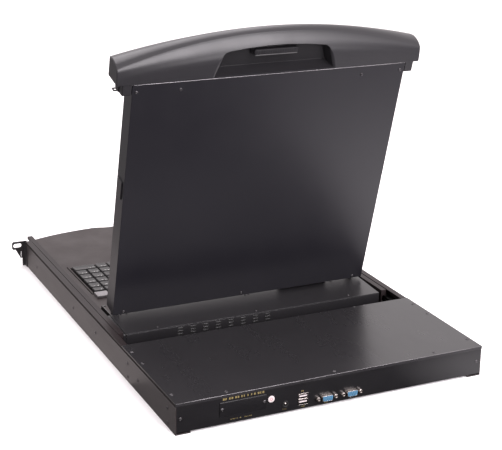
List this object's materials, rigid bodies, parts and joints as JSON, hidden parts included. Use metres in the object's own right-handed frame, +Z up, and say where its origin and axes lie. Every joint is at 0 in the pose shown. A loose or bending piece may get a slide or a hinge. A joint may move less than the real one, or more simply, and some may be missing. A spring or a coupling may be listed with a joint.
{
  "type": "rack console drawer",
  "caption": "Rack-mounted console drawer: a slim steel chassis with a sliding keyboard tray and a flip-up screen, with video, USB and power sockets at the back.",
  "frame": {"origin": "centre of the object's footprint box, on the plane its side channels stand on, in the pictured pose: tray 24 mm out, screen turned up", "axes": "+X to the right of someone at the keyboard, +Y towards the rear sockets, +Z up"},
  "size_m": [0.4826, 0.7696, 0.4529],
  "materials": {
    "black_steel": "satin powder coat",
    "cover_steel": "satin powder coat",
    "slide_steel": "black zinc",
    "plated_steel": "zinc plated",
    "screw_steel": "black zinc",
    "circuit_board": "solder mask",
    "connector_shell": "nickel plated",
    "black_plastic": "fine texture",
    "key_plastic": "satin",
    "button_plastic": "satin",
    "grey_plastic": "satin",
    "white_film": "matte",
    "screen": "semi-gloss"
  },
  "bodies": {
    "chassis": {"side_panel_left": "black_steel", "side_panel_right": "black_steel", "top_rail_left": "cover_steel", "top_rail_right": "cover_steel", "base_pan": "black_steel", "rear_panel": "black_steel", "top_cover": "cover_steel", "bulkhead": "black_steel", "rack_ear_left": "black_steel", "rack_ear_right": "black_steel", "slide_outer_left": "slide_steel", "slide_outer_right": "slide_steel", "switch_board": "circuit_board", "vga_port_1": "connector_shell", "vga_port_2": "connector_shell", "usb_ports": "connector_shell", "dc_jack": "black_plastic", "option_cover": "black_steel", "seal_disc": "white_film", "case_screws": "screw_steel"},
    "slide_mids": {"slide_mid_left": "slide_steel", "slide_mid_right": "slide_steel", "slide_balls": "plated_steel"},
    "drawer": {"drawer_floor": "black_steel", "drawer_side_left": "black_steel", "drawer_side_right": "black_steel", "drawer_rear_wall": "black_steel", "hinge_cover": "black_steel", "slide_inner_left": "slide_steel", "slide_inner_right": "slide_steel", "keyboard_deck": "black_plastic", "lower_handle": "black_plastic", "keyboard_base": "black_plastic", "indicator_panel": "grey_plastic", "touchpad": "button_plastic", "hinge_brackets": "slide_steel", "hinge_pins": "plated_steel", "control_board": "circuit_board"},
    "display": {"display_rear_cover": "cover_steel", "display_bezel": "black_plastic", "lcd_panel": "screen", "display_board": "circuit_board", "upper_handle": "black_plastic", "hinge_arms": "plated_steel", "cable_shroud": "black_plastic", "side_fittings": "black_steel", "display_screws": "screw_steel"},
    "handle_latch": {"handle_latch": "black_plastic"},
    "osd_buttons": {"osd_buttons": "button_plastic"},
    "power_button": {"power_button": "button_plastic"},
    "function_keys": {"function_keys": "key_plastic"},
    "number_keys": {"number_keys": "key_plastic"},
    "upper_keys": {"upper_keys": "key_plastic"},
    "home_keys": {"home_keys": "key_plastic"},
    "lower_keys": {"lower_keys": "key_plastic"},
    "bottom_keys": {"bottom_keys": "key_plastic"},
    "space_bar": {"space_bar": "key_plastic"},
    "keypad_keys": {"keypad_keys": "key_plastic"},
    "touchpad_button_left": {"touchpad_button_left": "button_plastic"},
    "touchpad_button_right": {"touchpad_button_right": "button_plastic"}
  },
  "joints": [
    {"name": "drawer_slide", "type": "slide", "parent": "chassis", "child": "drawer", "axis": [0, -1, 0], "range_m": [-0.024, 0.4]},
    {"name": "mid_slide", "type": "slide", "parent": "chassis", "child": "slide_mids", "axis": [0, -1, 0], "range_m": [-0.012, 0.2]},
    {"name": "display_hinge", "type": "hinge", "parent": "drawer", "child": "display", "pos_m": [0, 0.06287, 0.0211], "axis": [-1, 0, 0], "range_deg": [-105.5, 4.5]},
    {"name": "function_keys_press", "type": "slide", "parent": "drawer", "child": "function_keys", "axis": [0, 0, -1], "range_m": [0, 0.002], "stiffness_N_per_m": 4500},
    {"name": "number_keys_press", "type": "slide", "parent": "drawer", "child": "number_keys", "axis": [0, 0, -1], "range_m": [0, 0.002], "stiffness_N_per_m": 3250},
    {"name": "upper_keys_press", "type": "slide", "parent": "drawer", "child": "upper_keys", "axis": [0, 0, -1], "range_m": [0, 0.002], "stiffness_N_per_m": 3250},
    {"name": "home_keys_press", "type": "slide", "parent": "drawer", "child": "home_keys", "axis": [0, 0, -1], "range_m": [0, 0.002], "stiffness_N_per_m": 3000},
    {"name": "lower_keys_press", "type": "slide", "parent": "drawer", "child": "lower_keys", "axis": [0, 0, -1], "range_m": [0, 0.002], "stiffness_N_per_m": 3000},
    {"name": "bottom_keys_press", "type": "slide", "parent": "drawer", "child": "bottom_keys", "axis": [0, 0, -1], "range_m": [0, 0.002], "stiffness_N_per_m": 2250},
    {"name": "space_bar_press", "type": "slide", "parent": "drawer", "child": "space_bar", "axis": [0, 0, -1], "range_m": [0, 0.002], "stiffness_N_per_m": 500},
    {"name": "keypad_keys_press", "type": "slide", "parent": "drawer", "child": "keypad_keys", "axis": [0, 0, -1], "range_m": [0, 0.002], "stiffness_N_per_m": 4750},
    {"name": "touchpad_button_left_press", "type": "slide", "parent": "drawer", "child": "touchpad_button_left", "axis": [0, 0, -1], "range_m": [0, 0.0008], "stiffness_N_per_m": 1200},
    {"name": "touchpad_button_right_press", "type": "slide", "parent": "drawer", "child": "touchpad_button_right", "axis": [0, 0, -1], "range_m": [0, 0.0008], "stiffness_N_per_m": 1200},
    {"name": "handle_latch_slide", "type": "slide", "parent": "display", "child": "handle_latch", "axis": [0, -0.2672, -0.9636], "range_m": [0, 0.004], "stiffness_N_per_m": 700},
    {"name": "osd_buttons_press", "type": "slide", "parent": "display", "child": "osd_buttons", "axis": [0, 0.9636, -0.2672], "range_m": [0, 0.0008], "stiffness_N_per_m": 3000},
    {"name": "power_button_press", "type": "slide", "parent": "display", "child": "power_button", "axis": [0, 0.9636, -0.2672], "range_m": [0, 0.0008], "stiffness_N_per_m": 1500}
  ],
  "couplings": [
    {"joint": "mid_slide", "follows": "drawer_slide", "ratio": 0.5}
  ]
}
